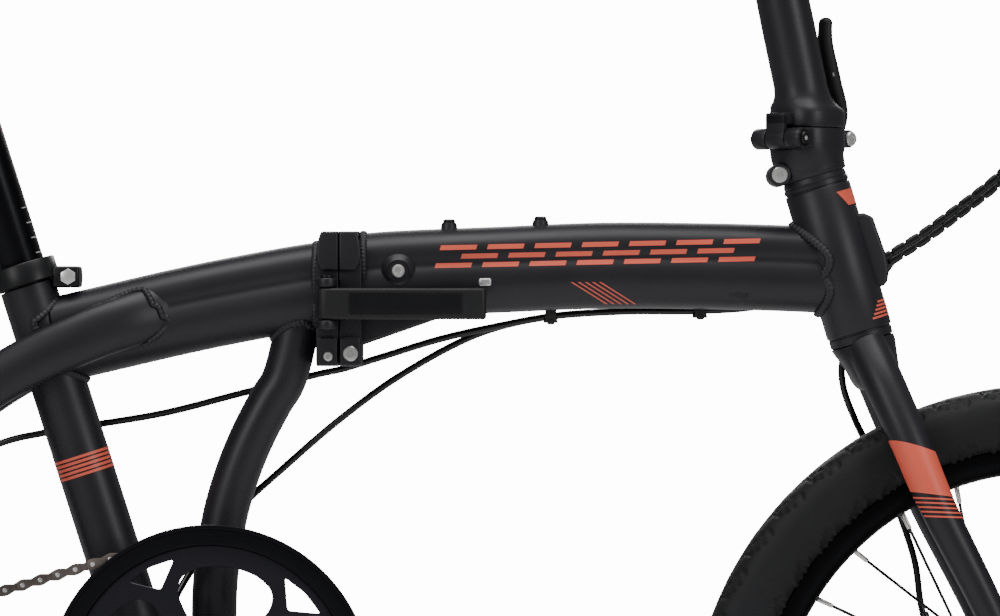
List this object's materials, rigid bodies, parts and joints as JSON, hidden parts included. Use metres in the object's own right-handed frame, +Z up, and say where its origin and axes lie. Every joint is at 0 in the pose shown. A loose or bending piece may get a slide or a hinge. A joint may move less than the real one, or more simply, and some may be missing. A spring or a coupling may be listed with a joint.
{
  "type": "folding bicycle",
  "caption": "Folding bicycle with small wheels, a mid-frame hinge, a folding handlepost, disc brakes and a guarded chainring.",
  "frame": {"origin": "on the ground, midway between the two axles", "axes": "+X forward along the wheels, +Y to the rider's left, +Z up"},
  "size_m": [1.5236, 0.5686, 1.0456],
  "materials": {
    "frame_paint": "satin black powder coat with a slight purple cast",
    "black_alloy": "black anodised",
    "silver": "bright zinc and stainless",
    "chain_steel": "dull nickel plate",
    "rubber": "matte rubber",
    "tyre": "matte tread rubber",
    "plastic": "moulded black plastic",
    "cable": "gloss black housing",
    "saddle_cover": "grained synthetic leather"
  },
  "bodies": {
    "rear_frame": {"rear_main_tube": "frame_paint", "rear_hinge_plate": "frame_paint", "seat_tube": "frame_paint", "curved_strut": "frame_paint", "bottom_bracket_cartridge": "black_alloy", "left_seat_stay": "frame_paint", "right_seat_stay": "frame_paint", "left_chain_stay": "frame_paint", "right_chain_stay": "frame_paint", "seat_clamp": "black_alloy", "rear_axle": "silver", "rear_brake_caliper": "black_alloy", "derailleur": "black_alloy", "chain": "chain_steel", "rear_brake_cable": "cable", "shift_cable": "cable"},
    "front_frame": {"front_main_tube": "frame_paint", "front_hinge_plate": "frame_paint", "head_tube": "frame_paint", "main_tube_cables": "cable", "cable_bundle_lower": "cable"},
    "frame_latch": {"frame_latch_lever": "black_alloy"},
    "fork": {"fork": "frame_paint", "handlepost_base": "frame_paint", "front_axle": "silver", "front_brake_caliper": "black_alloy", "front_brake_cable": "cable"},
    "handlepost": {"handlepost": "frame_paint", "handlebar": "black_alloy", "left_grip": "rubber", "right_grip": "rubber", "left_brake_perch": "black_alloy", "right_brake_perch": "black_alloy", "cable_bundle_upper": "cable"},
    "handlepost_latch": {"handlepost_latch_lever": "black_alloy"},
    "left_brake_lever": {"left_brake_lever": "black_alloy"},
    "right_brake_lever": {"right_brake_lever": "black_alloy"},
    "shift_lever": {"shift_lever": "plastic"},
    "front_caliper_arm": {"front_caliper_arm": "silver"},
    "rear_caliper_arm": {"rear_caliper_arm": "silver"},
    "front_wheel": {"front_tyre": "tyre", "front_rim": "black_alloy", "front_hub": "black_alloy", "front_rotor": "silver"},
    "rear_wheel": {"rear_tyre": "tyre", "rear_rim": "black_alloy", "rear_hub": "black_alloy", "rear_rotor": "silver"},
    "cassette": {"cassette": "silver"},
    "crankset": {"right_crank": "black_alloy", "chainring": "black_alloy", "left_crank": "black_alloy"},
    "left_pedal": {"left_pedal": "plastic"},
    "right_pedal": {"right_pedal": "plastic"},
    "guide_pulley": {"guide_pulley": "plastic"},
    "tension_pulley": {"tension_pulley": "plastic"},
    "seat_post": {"seat_post": "black_alloy", "saddle": "saddle_cover"},
    "seat_clamp_lever": {"seat_clamp_lever": "black_alloy"},
    "kickstand": {"kickstand": "black_alloy"}
  },
  "joints": [
    {"name": "frame_fold", "type": "hinge", "parent": "rear_frame", "child": "front_frame", "pos_m": [0.0099, 0.035, 0.566], "axis": [0, 0, 1], "range_deg": [0, 160]},
    {"name": "frame_latch_turn", "type": "hinge", "parent": "rear_frame", "child": "frame_latch", "pos_m": [0.002, -0.041, 0.563], "axis": [0, 0, -1], "range_deg": [0, 150]},
    {"name": "steering", "type": "hinge", "parent": "front_frame", "child": "fork", "pos_m": [0.3767, 0, 0.544], "axis": [-0.2822, 0, 0.9594], "range_deg": [-45, 45]},
    {"name": "handlepost_fold", "type": "hinge", "parent": "fork", "child": "handlepost", "pos_m": [0.32, -0.02, 0.679], "axis": [0.7071, -0.7071, 0], "range_deg": [0, 130]},
    {"name": "handlepost_latch_turn", "type": "hinge", "parent": "fork", "child": "handlepost_latch", "pos_m": [0.36192, 0.02192, 0.68], "axis": [-0.7071, 0.7071, 0], "range_deg": [0, 120]},
    {"name": "left_brake_squeeze", "type": "hinge", "parent": "handlepost", "child": "left_brake_lever", "pos_m": [0.299, 0.157, 1.013], "axis": [0, 0, 1], "range_deg": [0, 14], "stiffness_Nm_per_rad": 0.5},
    {"name": "right_brake_squeeze", "type": "hinge", "parent": "handlepost", "child": "right_brake_lever", "pos_m": [0.299, -0.157, 1.013], "axis": [0, 0, -1], "range_deg": [0, 14], "stiffness_Nm_per_rad": 0.5},
    {"name": "front_caliper_pull", "type": "hinge", "parent": "fork", "child": "front_caliper_arm", "pos_m": [0.441, 0.0567, 0.3], "axis": [0, 1, 0], "range_deg": [0, 21]},
    {"name": "rear_caliper_pull", "type": "hinge", "parent": "rear_frame", "child": "rear_caliper_arm", "pos_m": [-0.498, 0.0607, 0.336], "axis": [0, 1, 0], "range_deg": [0, 21]},
    {"name": "shift_push", "type": "hinge", "parent": "handlepost", "child": "shift_lever", "pos_m": [0.268, -0.124, 0.992], "axis": [0, 0, 1], "range_deg": [0, 25], "stiffness_Nm_per_rad": 0.3},
    {"name": "front_wheel_spin", "type": "hinge", "parent": "fork", "child": "front_wheel", "pos_m": [0.509, 0, 0.2528], "axis": [0, 1, 0], "continuous": true},
    {"name": "rear_wheel_spin", "type": "hinge", "parent": "rear_frame", "child": "rear_wheel", "pos_m": [-0.509, 0, 0.2528], "axis": [0, 1, 0], "continuous": true},
    {"name": "cassette_spin", "type": "hinge", "parent": "rear_frame", "child": "cassette", "pos_m": [-0.509, 0, 0.2528], "axis": [0, 1, 0], "continuous": true},
    {"name": "crank_spin", "type": "hinge", "parent": "rear_frame", "child": "crankset", "pos_m": [-0.079, 0, 0.296], "axis": [0, 1, 0], "continuous": true},
    {"name": "guide_pulley_spin", "type": "hinge", "parent": "rear_frame", "child": "guide_pulley", "pos_m": [-0.502, 0, 0.196], "axis": [0, 1, 0], "continuous": true},
    {"name": "tension_pulley_spin", "type": "hinge", "parent": "rear_frame", "child": "tension_pulley", "pos_m": [-0.478, 0, 0.138], "axis": [0, 1, 0], "continuous": true},
    {"name": "left_pedal_spin", "type": "hinge", "parent": "crankset", "child": "left_pedal", "pos_m": [0.086, 0, 0.296], "axis": [0, 1, 0], "continuous": true},
    {"name": "right_pedal_spin", "type": "hinge", "parent": "crankset", "child": "right_pedal", "pos_m": [-0.244, 0, 0.296], "axis": [0, 1, 0], "continuous": true},
    {"name": "seat_post_slide", "type": "slide", "parent": "rear_frame", "child": "seat_post", "axis": [-0.304, 0, 0.9527], "range_m": [-0.17, 0.03]},
    {"name": "seat_lever_turn", "type": "hinge", "parent": "rear_frame", "child": "seat_clamp_lever", "pos_m": [-0.181, 0.024, 0.582], "axis": [0, 0, -1], "range_deg": [0, 120]},
    {"name": "kickstand_fold", "type": "hinge", "parent": "rear_frame", "child": "kickstand", "pos_m": [-0.19, 0.05, 0.25], "axis": [0, 1, 0], "range_deg": [0, 90]}
  ],
  "couplings": [
    {"joint": "front_caliper_pull", "follows": "left_brake_squeeze", "ratio": 1.4},
    {"joint": "rear_caliper_pull", "follows": "right_brake_squeeze", "ratio": 1.4},
    {"joint": "crank_spin", "follows": "cassette_spin", "ratio": 0.23077},
    {"joint": "guide_pulley_spin", "follows": "cassette_spin", "ratio": -1.0909},
    {"joint": "tension_pulley_spin", "follows": "cassette_spin", "ratio": 1.0909}
  ]
}
